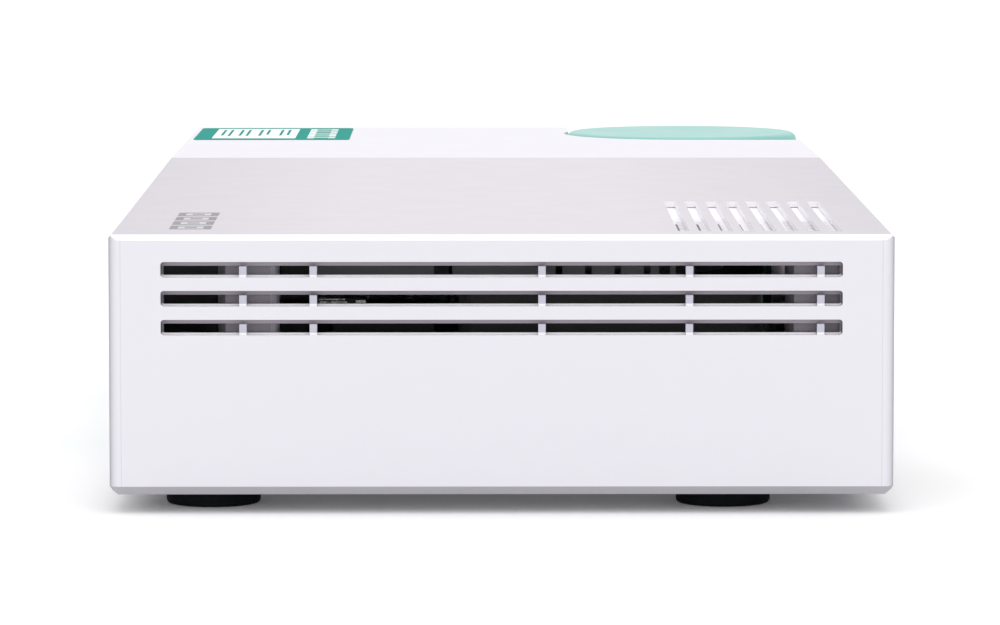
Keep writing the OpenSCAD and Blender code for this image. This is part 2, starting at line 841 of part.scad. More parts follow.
// Pale duct between the dust screen and the blower
module air_guide() {
    x0 = 76;
    x1 = 136.5;
    y0 = -8;
    y1 = 44;
    z0 = 40.2;
    t = 1;
    skirt_h = 3.4;
    color([0.8, 0.8, 0.82]) difference() {
        union() {
            translate([x0, y0, z0]) cube([x1 - x0, y1 - y0, t]);
            // the shelf under the vents, clear of the casing boss
            translate([x0, y1 - eps, z0]) cube([131 - x0, 58 - y1, t]);
            for (span = skirt_spans)
                translate([x1 - t, span[0], z0 - skirt_h]) cube([t, span[1] - span[0], skirt_h + eps]);
            translate([x1 - t, skirt_spans[0][0], z0]) cube([t, y0 - skirt_spans[0][0] + eps, t]);
            translate([blower_x, blower_y, blower_z + blower_h])
                cylinder(h = z0 - blower_z - blower_h + eps, r = 19.5);
        }
        translate([blower_x, blower_y, blower_z + blower_h - 1]) cylinder(h = 10, r = 18);
        for (slit = skirt_slits) translate([x1 - 3, slit[0], z0 - skirt_h + 0.5])
            cube([5, slit[1], skirt_h - 1]);
    }
}

// Pale dust screen in its pocket under the vents, open mesh towards the slotted end
module dust_screen() {
    mesh_pitch = 3;
    hole = 1.5;
    thick = 0.6;
    first = 10;
    columns = 19;
    rows = 9;
    color([0.85, 0.84, 0.86]) difference() {
        intersection() {
            screen_pocket(vent_t + seam);
            translate([fold_x, 0, roof_z - vent_t - seam]) rotate([0, roof_fall, 0])
                translate([-big, -big, -thick]) cube([2 * big, 2 * big, big]);
        }
        translate([fold_x, 0, roof_z - 4]) rotate([0, roof_fall, 0])
            translate([vent_x1 - vent_l - fold_x, vent_y0 - 2.2, 0])
                for (i = [first:columns], j = [1:rows])
                    translate([i * mesh_pitch, j * mesh_pitch, -2]) cube([hole, hole, 8]);
    }
}

// -------------------------------------------------------------- front board

front_board_y = -54;

module front_board() {
    color(board_green) difference() {
        translate([-141, front_board_y, base_top + 0.5]) cube([47, board_t, 36]);
        translate([bosses[2][0], bosses[2][1], 0]) cylinder(h = 60, r = boss_r + 0.6);
    }
}

module front_usb_port() {
    color(shield_metal) translate([usb_x - usb_w / 2, -half_d + 0.4, usb_z])
        usb_port(usb_w, usb_h, -0.4 + half_d + front_board_y);
}

module push_button(x, z, r) {
    translate([x, -inner_y, z]) rotate([90, 0, 0]) {
        translate([0, 0, -1.2]) cylinder(h = 1.1, r = r + 1.2);
        translate([0, 0, -0.2]) cylinder(h = 1.8, r = r);
    }
    translate([x, -inner_y, z]) rotate([-90, 0, 0]) cylinder(h = 3.5, r = 1.5);
}

module tact_switch(x, z) {
    translate([x - 3, -inner_y + 3.5 + 1.3, z - 3])
        cube([6, front_board_y + inner_y - 3.5 - 1.3, 6]);
}

module power_button() { color([0.85, 0.85, 0.88]) push_button(button_x, power_z, power_r); }
module copy_button() { color([0.35, 0.72, 0.67]) push_button(copy_x, copy_z, copy_r); }
module power_switch() { color(black) tact_switch(button_x, power_z); }
module copy_switch() { color(black) tact_switch(copy_x, copy_z); }

module status_lights() {
    color([0.7, 0.9, 0.85]) for (z = light_z)
        translate([light_x, front_board_y, z]) rotate([90, 0, 0])
            cylinder(h = half_d + front_board_y - 0.2, r = light_r);
}

// Flat cable from the front board, under the trays, to the main board
module front_cable() {
    y = -50;
    w = 8;
    t = 0.5;
    z = base_top + 0.05;
    x0 = -100;
    x1 = 64.8;
    color([0.75, 0.75, 0.78]) {
        translate([x0, y, z]) cube([x1 - x0, w, t]);
        translate([x0, front_board_y + board_t, z]) cube([w, y - front_board_y - board_t + w, t]);
        translate([x1 - t, y, z]) cube([t, w, board_top + 1 - z]);
        translate([x1 - t, y, board_top + 0.5]) cube([board_x0 + 4 - x1, w, t]);
    }
}

// Flat cable from the backplane to the main board
module drive_cable() {
    z = 12;
    w = 14;
    t = 0.6;
    y = backplane_y + board_t;
    color([0.75, 0.75, 0.78]) {
        translate([cage_right - 12, y, z]) cube([12 + 5, t, w]);
        translate([cage_right + 5 - t, y - 3, z]) cube([t, 3 + t, w]);
    }
}

top_shell();
front_bezel();
rear_panel();
base_plate();
corner_post();
top_label();
rubber_feet();
case_screws();
drive_cage();
cage_screws();
tray_1();
tray_2();
tray_3();
tray_4();
drive_1();
drive_2();
drive_3();
drive_4();
tray_lever_1();
tray_lever_2();
tray_lever_3();
tray_lever_4();
backplane();
drive_sockets();
main_board();
board_screws();
processor();
heat_sink();
sink_clip();
memory_chips();
power_inductors();
capacitors();
coin_cell();
cell_holder();
lan_ports();
rear_usb_port();
dc_jack();
reset_button();
reset_switch();
blower_housing();
blower_lid();
blower_motor();
blower_rotor();
air_guide();
dust_screen();
front_board();
front_usb_port();
power_button();
power_switch();
copy_button();
copy_switch();
status_lights();
front_cable();
drive_cable();
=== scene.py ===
import json
import math
import random

import bmesh
import bpy
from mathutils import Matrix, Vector


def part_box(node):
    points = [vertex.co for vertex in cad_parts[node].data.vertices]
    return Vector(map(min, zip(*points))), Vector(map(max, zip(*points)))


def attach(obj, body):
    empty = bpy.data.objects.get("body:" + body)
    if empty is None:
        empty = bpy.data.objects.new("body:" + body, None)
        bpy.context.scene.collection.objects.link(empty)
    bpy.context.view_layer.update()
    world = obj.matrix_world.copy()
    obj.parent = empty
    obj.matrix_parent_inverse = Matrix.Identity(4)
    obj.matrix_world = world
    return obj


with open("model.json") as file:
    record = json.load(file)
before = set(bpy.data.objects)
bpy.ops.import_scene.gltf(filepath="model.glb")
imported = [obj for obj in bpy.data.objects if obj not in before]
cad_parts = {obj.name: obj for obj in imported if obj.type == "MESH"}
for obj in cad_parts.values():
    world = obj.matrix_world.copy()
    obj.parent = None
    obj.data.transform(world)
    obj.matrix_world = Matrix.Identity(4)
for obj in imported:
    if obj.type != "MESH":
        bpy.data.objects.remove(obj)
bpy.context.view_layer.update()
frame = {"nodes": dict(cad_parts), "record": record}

nodes = frame["nodes"]
record = frame["record"]
scene = bpy.context.scene
scene.view_settings.view_transform = "Standard"

MM = 0.001


# ------------------------------------------------------- places on the casing

# metres, in the frame
HALF_DEPTH = 0.0635
FOLD_X = -0.033                    # the roof slopes down from here to the slotted end
ROOF_FALL = math.radians(0.63)
INNER = (0.1431, 0.0616, 0.0431)   # the casing's inner side lies within these, each way
SKIN_X = 0.1449                    # the slotted wall's outer face lies past this
RIB_X = 0.1443                     # the fronts of the slot ribs lie past this
CORNER_X = 0.14305                 # the rounding of the upright corners starts here
SLOT_TOP = 0.04085
SLOT_PITCH = 0.00468
SLOT_HALF = 0.0549
SLOTS_Z = (SLOT_TOP - 0.0119, SLOT_TOP - 0.00005)
SLOT_SIDES = (0.05425, 0.0553)     # both short ends of the slots, as distances from the middle
CORNER_LINE_Y = (0.0614, 0.06158)         # painted shade lines where both corners of the slotted wall round off
VENTS_X = (0.0764, 0.1378)
VENTS_Y = (0.0284, 0.056)
SCREEN_X = (0.076, 0.138)
THREADS_X = 0.1115                 # the dust screen's dark gaps start here
THREAD_START = 0.0257
THREAD_PITCH = 0.001745
THREAD_GAP = 0.0004

# metres below the top of a slot
SHADE_BAND = 0.00075               # the shade at the top reaches down to here
SLOT_SIDE_H = 0.0025               # and the short ends down to here
SILL_HIGHLIGHT = (0.0021, 0.0026)

# millimetres
LABEL_TOP = 47.35
ROOF_TOP = 47.2
FILM = 0.02                        # thickness of print
BOARD_TOP = 9.6
PARTS_FLOOR = BOARD_TOP - 0.05


# --------------------------------------------------------------------- tones

CASING = (0.79, 0.776, 0.83)
# painted shade on the sloping roof, deepest towards both sides
SLOPE_SHADE = (0.667, 0.632, 0.68)
SLOPE_SIDE_SHADE = (0.59, 0.56, 0.61)
# painted highlight on the top chamfer, the slot sills and the walls inside the roof vents
PAINTED_HIGHLIGHT = (0.93, 0.915, 0.95)
# painted shade along the tops of the long slots
BAND_SHADE = (0.33, 0.30, 0.34)
# painted shade in lines where the corners of the slotted wall start to round
CORNER_LINE_SHADE = (0.71, 0.70, 0.75)
# painted shade on the rib fronts and at the short ends of the slots
RIB_SHADE = (0.549, 0.543, 0.633)
SLOT_END_SHADE = (0.2, 0.185, 0.21)
# painted shade on the inner side, by how far a face turns from the front (0) to the rear (1)
INNER_SHADE_RAMP = [(0.25, (0.17, 0.157, 0.18)), (0.45, (0.27, 0.25, 0.285)), (0.55, (0.33, 0.306, 0.348)),
              (0.8, (0.36, 0.333, 0.38)), (0.92, (0.75, 0.7, 0.79))]
# painted shade on the upright corners of the slotted end, by how far they turn away from it
CORNER_SHADE_RAMP = [(0.3, (1, 1, 1)), (0.55, (0.94, 0.94, 0.94)), (0.76, (0.8, 0.79, 0.81)),
               (0.88, (0.62, 0.6, 0.63)), (1.0, (0.42, 0.4, 0.44))]
# painted light on the dust screen, from its inner end to the slotted end
SCREEN_LIGHT_RAMP = [(0.0, (0.9, 0.88, 0.92)), (0.36, (0.88, 0.86, 0.9)), (0.44, (0.8, 0.78, 0.82)),
               (1.0, (0.72, 0.7, 0.74))]
# painted shade in the gaps between the screen's threads
SCREEN_GAP_SHADE = (0.2, 0.185, 0.21)
# painted light on level mint faces, painted shade on upright ones
MINT_LIT_TOP = (0.315, 0.59, 0.55)
MINT_SHADED_SIDE = (0.22, 0.55, 0.50)
TEAL = (0.062, 0.338, 0.287)
CARD_TONE = (0.12, 0.115, 0.125)


# -------------------------------------------------------------------- camera

CAMERA_PLACE = Vector((1.011, -0.0056, 0.1086))
PITCH_DOWN = math.radians(5.011)
YAW = math.radians(0.352)
LENS = 194.05


def make_camera():
    data = bpy.data.cameras.new("camera")
    data.sensor_width = 36
    data.lens = LENS
    data.clip_start = 0.05
    data.clip_end = 20
    camera = bpy.data.objects.new("camera", data)
    scene.collection.objects.link(camera)
    camera.location = CAMERA_PLACE
    look = Vector((-math.cos(PITCH_DOWN) * math.cos(YAW),
                   math.cos(PITCH_DOWN) * math.sin(YAW),
                   -math.sin(PITCH_DOWN)))
    camera.rotation_euler = look.to_track_quat("-Z", "Y").to_euler()
    scene.camera = camera


# -------------------------------------------------------------- shader nodes

def new_material(name):
    material = bpy.data.materials.new(name)
    material.use_nodes = True
    tree = material.node_tree
    return material, tree, tree.nodes["Principled BSDF"]


def add(tree, kind, **values):
    """A shader node, with its sockets or settings given by name."""
    node = tree.nodes.new(kind)
    for key, value in values.items():
        if key in node.inputs:
            node.inputs[key].default_value = value
        else:
            setattr(node, key, value)
    return node


def feed(tree, socket, value):
    """Links a socket, or sets a colour or a number."""
    if isinstance(value, bpy.types.NodeSocket):
        tree.links.new(value, socket)
    elif isinstance(value, tuple):
        socket.default_value = (*value, 1)
    else:
        socket.default_value = value


def calculate(tree, operation, *values):
    """One step of arithmetic on sockets or numbers."""
    node = add(tree, "ShaderNodeMath", operation=operation)
    for socket, value in zip(node.inputs, values):
        feed(tree, socket, value)
    return node.outputs[0]


def axes(tree, vector):
    """The X, Y and Z of a vector."""
    split = add(tree, "ShaderNodeSeparateXYZ")
    tree.links.new(vector, split.inputs["Vector"])
    return split.outputs["X"], split.outputs["Y"], split.outputs["Z"]


def object_point(tree, scale=(1, 1, 1), rotation=(0, 0, 0)):
    """The frame's own coordinates in metres, scaled and turned."""
    place = add(tree, "ShaderNodeTexCoord")
    mapping = add(tree, "ShaderNodeMapping", Scale=scale, Rotation=rotation)
    tree.links.new(place.outputs["Object"], mapping.inputs["Vector"])
    return mapping.outputs["Vector"]


def noise(tree, point, scale, detail=3.0, roughness=0.55):
    node = add(tree, "ShaderNodeTexNoise", Scale=scale, Detail=detail, Roughness=roughness)
    tree.links.new(point, node.inputs["Vector"])
    return node.outputs["Fac"]


def ramp(tree, value, stops):
    """Maps a value to colours; stops is a list of (position, colour)."""
    node = add(tree, "ShaderNodeValToRGB")
    line = node.color_ramp
    while len(line.elements) < len(stops):
        line.elements.new(0.5)
    for element, (position, colour) in zip(line.elements, stops):
        element.position = position
        element.color = (*colour, 1)
    tree.links.new(value, node.inputs["Fac"])
    return node.outputs["Color"]


def ranged(tree, value, low, high, start=0.3, end=0.7):
    """Stretches the span from start to end over the span from low to high."""
    node = add(tree, "ShaderNodeMapRange")
    for key, number in zip(("From Min", "From Max", "To Min", "To Max"), (start, end, low, high)):
        node.inputs[key].default_value = number
    tree.links.new(value, node.inputs["Value"])
    return node.outputs["Result"]


def bump(tree, shader, height, strength, depth):
    node = add(tree, "ShaderNodeBump", Strength=strength, Distance=depth)
    tree.links.new(height, node.inputs["Height"])
    tree.links.new(node.outputs["Normal"], shader.inputs["Normal"])


def mixed(tree, factor, a, b, blend="MIX"):
    """Mixes two colours; each is a socket or an (r, g, b)."""
    node = add(tree, "ShaderNodeMix", data_type="RGBA", blend_type=blend)
    for index, value in ((0, factor), (6, a), (7, b)):
        feed(tree, node.inputs[index], value)
    return node.outputs[2]


def zone(tree, *spans):
    """1 where every value lies between its limits; spans are (value, low, high), None for no limit."""
    tests = [calculate(tree, operation, value, limit)
             for value, low, high in spans
             for operation, limit in (("GREATER_THAN", low), ("LESS_THAN", high)) if limit is not None]
    product = tests[0]
    for test in tests[1:]:
        product = calculate(tree, "MULTIPLY", product, test)
    return product


def tinted(colour, gain):
    return tuple(min(1.0, c * gain) for c in colour)


# ----------------------------------------------------------------- materials

def moulded(name, colour, rough=0.45, grain=9000, depth=0.00002, specular=0.35, spread=0.03):
    """Moulded plastic: fine spark texture, faint flow mottling and uneven gloss."""
    material, tree, shader = new_material(name)
    point = object_point(tree)
    mottle = noise(tree, point, 28, 4)
    colours = ramp(tree, mottle, [(0.3, tinted(colour, 1 - spread)), (0.7, tinted(colour, 1 + spread))])
    tree.links.new(colours, shader.inputs["Base Color"])
    gloss = noise(tree, point, 110, 3)
    tree.links.new(ranged(tree, gloss, rough - 0.04, rough + 0.06), shader.inputs["Roughness"])
    bump(tree, shader, noise(tree, point, grain, 2), 0.35, depth)
    shader.inputs["Specular IOR Level"].default_value = specular
    return material


def reopened(material):
    """The tree, shader and plain colour of a material that gets more detail."""
    tree = material.node_tree
    shader = tree.nodes["Principled BSDF"]
    return tree, shader, shader.inputs["Base Color"].links[0].from_socket


def casing_plastic():
    """White casing plastic: painted shade that greys the sloping roof, painted highlights on crisp pale
    edges, painted shade in the long slots and on the rounded corners, and painted shade that greys the inner
    side."""
    material = moulded("casing_plastic", CASING, 0.5, 7000, 0.000005, 0.25, 0.003)
    tree, shader, colour = reopened(material)
    x, y, z = axes(tree, add(tree, "ShaderNodeTexCoord").outputs["Object"])
    geometry = add(tree, "ShaderNodeNewGeometry")
    face_x, face_y, face_z = axes(tree, geometry.outputs["True Normal"])
    to_side = calculate(tree, "ABSOLUTE", y)

    # the roof, level behind the fold, with painted shade on the slope that is a little darker towards both
    # sides
    # painted highlight on faces that turn both up and towards the slotted end
    chamfer_highlight = zone(tree, (face_z, 0.4, None), (face_x, 0.4, None))
    colour = mixed(tree, chamfer_highlight, colour, PAINTED_HIGHLIGHT)
    across = ranged(tree, y, 0, 1, -HALF_DEPTH, HALF_DEPTH)
    slope = ramp(tree, across, [(0.0, SLOPE_SIDE_SHADE), (0.3, SLOPE_SHADE), (0.65, SLOPE_SHADE), (1.0, SLOPE_SIDE_SHADE)])
    roof = mixed(tree, zone(tree, (x, FOLD_X, None)), CASING, slope)
    colour = mixed(tree, zone(tree, (face_z, 0.95, None)), colour, roof)

    # painted shade on the whole inner side, lighter on faces that turn towards the rear
    inner = zone(tree, *[(value, -limit, limit) for value, limit in zip((x, y, z), INNER)])
    colour = mixed(tree, inner, colour, ramp(tree, ranged(tree, face_y, 0, 1, -1, 1), INNER_SHADE_RAMP))

    # the long slots: painted shade on the ribs, the short ends and along the top, and a painted highlight on
    # the sill
    drop = calculate(tree, "MODULO", calculate(tree, "SUBTRACT", SLOT_TOP, z), SLOT_PITCH)
    wall, rows = (x, INNER[0], SKIN_X), (z, *SLOTS_Z)
    along = (y, -SLOT_HALF, SLOT_HALF)
    for tone, spans in ((RIB_SHADE, ((x, RIB_X, SKIN_X), along, rows, (face_x, 0.9, None))),
                        (SLOT_END_SHADE, (wall, (to_side, *SLOT_SIDES), rows, (drop, None, SLOT_SIDE_H))),
                        (BAND_SHADE, (wall, along, rows, (drop, None, SHADE_BAND))),
                        (PAINTED_HIGHLIGHT, (wall, along, rows, (drop, *SILL_HIGHLIGHT)))):
        colour = mixed(tree, zone(tree, *spans), colour, tone)

    # faint painted shade lines where the corners start to round, and painted light on the walls inside the
    # roof vents
    colour = mixed(tree, zone(tree, (x, SKIN_X + 0.00005, None), (to_side, *CORNER_LINE_Y)), colour, CORNER_LINE_SHADE)
    vents = zone(tree, (x, *VENTS_X), (y, *VENTS_Y), (z, INNER[2] - 0.0004, None), (face_z, None, 0.9))
    colour = mixed(tree, vents, colour, PAINTED_HIGHLIGHT)

    # painted shade on the rounded upright corners of the slotted end
    lean = calculate(tree, "ABSOLUTE", axes(tree, geometry.outputs["Normal"])[1])
    corner = zone(tree, (x, CORNER_X, None), (face_z, None, 0.4))
    colour = mixed(tree, corner, colour, ramp(tree, lean, CORNER_SHADE_RAMP), "MULTIPLY")
    tree.links.new(colour, shader.inputs["Base Color"])
    return material


def sheet_metal(name, colour, rough=0.3, along=(1, 1, 1), grain=900):
    """Brushed or plated metal: fine scratches along one axis, and faint smudges."""
    material, tree, shader = new_material(name)
    scratches = noise(tree, object_point(tree, along), grain, 2)
    smudges = noise(tree, object_point(tree), 60, 4)
    colours = ramp(tree, smudges, [(0.3, tinted(colour, 0.88)), (0.7, tinted(colour, 1.06))])
    tree.links.new(colours, shader.inputs["Base Color"])
    tree.links.new(ranged(tree, scratches, rough - 0.08, rough + 0.12), shader.inputs["Roughness"])
    bump(tree, shader, scratches, 0.3, 0.00001)
    shader.inputs["Metallic"].default_value = 1.0
    return material


def circuit_board():
    """Green solder mask over lighter copper lanes, with small bright via rings."""
    material, tree, shader = new_material("circuit_board")
    point = object_point(tree)
    lanes = add(tree, "ShaderNodeTexBrick", Scale=260.0)
    lanes.inputs["Color1"].default_value = (0.012, 0.10, 0.055, 1)
    lanes.inputs["Color2"].default_value = (0.02, 0.14, 0.08, 1)
    lanes.inputs["Mortar"].default_value = (0.008, 0.07, 0.04, 1)
    lanes.inputs["Mortar Size"].default_value = 0.03
    lanes.inputs["Brick Width"].default_value = 1.4
    lanes.inputs["Row Height"].default_value = 0.22
    tree.links.new(point, lanes.inputs["Vector"])
    dots = add(tree, "ShaderNodeTexVoronoi", Scale=240.0)
    tree.links.new(point, dots.inputs["Vector"])
    vias = ramp(tree, dots.outputs["Distance"], [(0.10, (1, 1, 1)), (0.13, (0, 0, 0))])
    colours = mixed(tree, vias, lanes.outputs["Color"], (0.55, 0.42, 0.18))
    tree.links.new(colours, shader.inputs["Base Color"])
    bump(tree, shader, lanes.outputs["Fac"], 0.4, 0.00003)
    shader.inputs["Roughness"].default_value = 0.3
    return material


def striped(name, light, dark, period, axis=(1, 0, 0), rough=0.5, metallic=0.0):
    """Parallel ribs or windings, period metres apart along axis."""
    material, tree, shader = new_material(name)
    turn = Vector((1, 0, 0)).rotation_difference(Vector(axis)).inverted().to_euler()
    wave = add(tree, "ShaderNodeTexWave", Scale=0.05 / period, Distortion=0.3, Detail=1.0)
    tree.links.new(object_point(tree, rotation=tuple(turn)), wave.inputs["Vector"])
    colours = ramp(tree, wave.outputs["Fac"], [(0.25, dark), (0.6, light)])
    tree.links.new(colours, shader.inputs["Base Color"])
    bump(tree, shader, wave.outputs["Fac"], 0.6, period * 0.15)
    shader.inputs["Roughness"].default_value = rough
    shader.inputs["Metallic"].default_value = metallic
    return material


def screen_plastic():
    """The pale dust screen, with painted light brightest at its inner end, painted shade in the dark gaps
    between its threads, and a faint painted glow.
    """
    material = moulded("screen_white", (0.9, 0.89, 0.92), 0.6, 8000)
    tree, shader, _ = reopened(material)
    x, y, _ = axes(tree, object_point(tree))
    tone = ramp(tree, ranged(tree, x, 0, 1, *SCREEN_X), SCREEN_LIGHT_RAMP)
    thread = calculate(tree, "MODULO", calculate(tree, "SUBTRACT", y, THREAD_START), THREAD_PITCH)
    gaps = zone(tree, (thread, None, THREAD_GAP), (x, THREADS_X, None))
    tree.links.new(mixed(tree, gaps, tone, SCREEN_GAP_SHADE), shader.inputs["Base Color"])
    # a faint painted glow
    shader.inputs["Emission Color"].default_value = (0.97, 0.95, 1.0, 1)
    shader.inputs["Emission Strength"].default_value = 0.04
    return material


def mint_plastic():
    """Mint plastic: painted shade deepens its tone on upright faces, painted light brightens level ones."""
    material = moulded("mint_plastic", MINT_LIT_TOP, 0.42, 6000, 0.000015, 0.3)
    tree, shader, plain = reopened(material)
    # painted light on level faces, painted shade on upright ones
    face_z = axes(tree, add(tree, "ShaderNodeNewGeometry").outputs["Normal"])[2]
    level = ranged(tree, face_z, 0, 1, 0.55, 0.99)
    tree.links.new(mixed(tree, level, MINT_SHADED_SIDE, plain), shader.inputs["Base Color"])
    return material


def clear_pipe():
    """Clear plastic light pipes, softly lit in green."""
    material = moulded("clear_pipe", (0.62, 0.86, 0.8), 0.2, 4000, 0.00001, 0.5)
    shader = material.node_tree.nodes["Principled BSDF"]
    shader.inputs["Emission Color"].default_value = (0.4, 1.0, 0.75, 1)
    shader.inputs["Emission Strength"].default_value = 0.25
    return material


def make_materials():
    """One material for each of the record's material slots."""
    return {
        "shell_white": casing_plastic(),
        # the base plate's grey is painted shade on the casing's white plastic
        "base_grey": moulded("base_plastic_shaded", (0.45, 0.437, 0.475), 0.55, 6000, 0.00001, 0.25),
        "tray_white": moulded("tray_plastic", (0.75, 0.74, 0.78), 0.5, 7000),
        "mint_plastic": mint_plastic(),
        "label_film": moulded("label_film", TEAL, 0.5, 5000, 0.000006, 0.0),
        "foot_rubber": moulded("foot_rubber", (0.008, 0.0095, 0.0105), 0.8, 5000, 0.00004, 0.12, 0.15),
        "screen_white": screen_plastic(),
        "screw_steel": sheet_metal("screw_steel", (0.62, 0.63, 0.65), 0.3),
        "cage_steel": sheet_metal("cage_steel", (0.13, 0.132, 0.138), 0.38, (1, 0.04, 1)),
        "port_steel": sheet_metal("port_steel", (0.66, 0.66, 0.66), 0.28, (0.05, 1, 1)),
        "board_green": circuit_board(),
        "drive_case": moulded("drive_case", (0.035, 0.037, 0.042), 0.42, 3500, 0.00003, 0.5, 0.1),
        "chip_black": moulded("chip_black", (0.02, 0.02, 0.021), 0.6, 9000, 0.00002, 0.4, 0.1),
        "sink_alloy": sheet_metal("sink_alloy", (0.06, 0.062, 0.066), 0.42, (1, 0.05, 1)),
        "can_alloy": sheet_metal("can_alloy", (0.72, 0.72, 0.74), 0.25),
        "choke_grey": moulded("choke_grey", (0.07, 0.07, 0.075), 0.7, 3000, 0.00004, 0.3, 0.12),
        "cell_steel": sheet_metal("cell_steel", (0.7, 0.7, 0.71), 0.22),
        "holder_cream": moulded("holder_cream", (0.62, 0.59, 0.5), 0.5),
        "jack_black": moulded("jack_black", (0.018, 0.018, 0.02), 0.45, 5000),
        "blower_black": moulded("blower_black", (0.06, 0.057, 0.062), 0.5, 5000, 0.00003, 0.4, 0.1),
        "motor_copper": striped("motor_copper", (0.7, 0.32, 0.16), (0.25, 0.09, 0.04), 0.0006,
                                (0, 0, 1), 0.3, 1.0),
        "duct_grey": moulded("duct_grey", (0.19, 0.183, 0.198), 0.5, 6000),
        "light_pipe": clear_pipe(),
        "button_grey": moulded("button_grey", (0.5, 0.5, 0.53), 0.4, 7000),
        "cable_grey": striped("cable_grey", (0.55, 0.55, 0.58), (0.3, 0.3, 0.33), 0.0013, (0, 1, 0)),
    }


def make_inks():
    """Finishes of print, lenses, contacts and small parts."""
    return {
        "white": moulded("print_white", (0.94, 0.94, 0.95), 0.5, 6000, 0.000004, 0.1),
        "teal": moulded("print_teal", TEAL, 0.5, 6000, 0.000004, 0.0),
        "grey": moulded("print_grey", (0.31, 0.30, 0.315), 0.55, 6000, 0.000004, 0.1),
        "slate": moulded("print_slate", (0.09, 0.095, 0.105), 0.55, 6000, 0.000004, 0.2),
        "tan": moulded("ceramic_tan", (0.42, 0.3, 0.19), 0.5, 3000, 0.00001, 0.4, 0.1),
        "amber": moulded("lens_amber", (0.75, 0.4, 0.04), 0.2, 3000, 0.000005, 0.5),
        "green": moulded("lens_green", (0.12, 0.6, 0.15), 0.2, 3000, 0.000005, 0.5),
        "gold": sheet_metal("contact_gold", (0.85, 0.62, 0.25), 0.22),
    }


# ----------------------------------------------------------------- CAD nodes

EDGE_WIDTH = 0.00012
OWN_EDGE_WIDTHS = {"top_label": 0, "rubber_feet": 0.0004, "front_cable": 0, "drive_cable": 0}


def dress_nodes(materials):
    """Gives every CAD node its material, and softens its moulded or cut edges."""
    slots = {row["node"]: row["material_slot"] for row in record["subparts"]}
    for name, obj in nodes.items():
        obj.data.materials.clear()
        obj.data.materials.append(materials[slots[name]])
        weld = obj.modifiers.new("weld", "WELD")
        weld.merge_threshold = 0.000002
        merge = obj.modifiers.new("merge", "DECIMATE")
        merge.decimate_type = "DISSOLVE"
        merge.angle_limit = math.radians(0.5)
        width = OWN_EDGE_WIDTHS.get(name, EDGE_WIDTH)
        if width > 0:
            edge = obj.modifiers.new("edge", "BEVEL")
            edge.width = width
            edge.segments = 2
            edge.limit_method = "ANGLE"
            edge.angle_limit = math.radians(35)
            even = obj.modifiers.new("even", "WEIGHTED_NORMAL")
            even.weight = 100
            for polygon in obj.data.polygons:
                polygon.use_smooth = True


# ------------------------------------------------ mesh helpers, in millimetres

def piece_from(name, build, material, body="chassis"):
    """Makes a mesh piece: build fills a bmesh in frame metres."""
    mesh = bpy.data.meshes.new(name)
    bm = bmesh.new()
    build(bm)
    bmesh.ops.recalc_face_normals(bm, faces=bm.faces)
    bm.to_mesh(mesh)
    bm.free()
    mesh.materials.append(material)
    obj = bpy.data.objects.new(name, mesh)
    scene.collection.objects.link(obj)
    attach(obj, body)


def add_box(bm, low, high, bevel=0.0):
    low, high = Vector(low) * MM, Vector(high) * MM
    made = bmesh.ops.create_cube(bm, size=1.0)["verts"]
    for vert in made:
        vert.co = Vector(((low[i] + high[i]) / 2 + vert.co[i] * (high[i] - low[i]) for i in range(3)))
    if bevel > 0:
        edges = {edge for vert in made for edge in vert.link_edges}
        bmesh.ops.bevel(bm, geom=list(edges), offset=bevel * MM, segments=2, affect="EDGES", profile=0.5)


def boxes(name, rows, material, body="chassis", bevel=0.0):
    """One or more boxes in one piece; rows of (low, high)."""
    def build(bm):
        for low, high in rows:
            add_box(bm, low, high, bevel)
    piece_from(name, build, material, body)


def box(name, low, high, material, body="chassis", bevel=0.0):
    boxes(name, [(low, high)], material, body, bevel)


def flat_ring(bm, centre, outer, inner, low, high, across, gap_turn=0.0, steps=40):
    """A flat ring, its axis along `across` ("Y" or "Z"), open at the top by gap_turn each way."""
    def point(turn, radius, level):
        u, v = radius * math.sin(turn), radius * math.cos(turn)
        if across == "Y":
            return Vector((centre[0] + u, level, centre[1] + v)) * MM
        return Vector((centre[0] + u, centre[1] + v, level)) * MM
    closed = gap_turn == 0
    span = 2 * math.pi - 2 * gap_turn
    turns = [gap_turn + span * i / steps for i in range(steps if closed else steps + 1)]
    corners = ((inner, low), (outer, low), (outer, high), (inner, high))
    rings = [[bm.verts.new(point(turn, radius, level)) for radius, level in corners] for turn in turns]
    for i in range(steps):
        a, b = rings[i], rings[(i + 1) % len(rings)]
        for k in range(4):
            bm.faces.new((a[k], a[(k + 1) % 4], b[(k + 1) % 4], b[k]))
    if not closed:
        bm.faces.new(rings[0])
        bm.faces.new(rings[-1])


def word_bars(rng, x0, x1, y0, y1, rows, height, low, high, ragged=0.35):
    """Greeked print: rows of short bars in place of words, as boxes."""
    made = []
    pitch = (y1 - y0) / rows
    for row in range(rows):
        y = y0 + (row + 0.5) * pitch
        end = x1 - rng.random() * ragged * (x1 - x0)
        x = x0
        while x < end - height:
            word = height * rng.uniform(1.6, 4.5)
            stop = min(x + word, end)
            made.append(((x, y - height / 2, low), (stop, y + height / 2, high)))
            x = stop + height * 0.7
    return made


def node_corners(name):
    """The lowest and highest corners of a CAD node."""
    return [tuple(round(value / MM, 3) for value in corner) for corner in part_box(name)]


def on_slope(bm):
    """Moves a mesh that was built at height 0 onto the roof, level behind the fold and sloping past it."""
    for vert in bm.verts:
        vert.co.z += ROOF_TOP * MM - max(0.0, vert.co.x - FOLD_X) * math.tan(ROOF_FALL)


# ------------------------------------------------------------ roof and screen

LABEL_LINES = (6.0, 9.7, 13.8, 18.1)                          # from the label's front edge
TITLE_WIDTHS = (4.2, 3.0, 4.6, 2.4, 3.4, 4.4, 1.6, 3.2)
MARK_X = 100.5
MARK_Y = -54.2
MARK_PITCH = 8.9


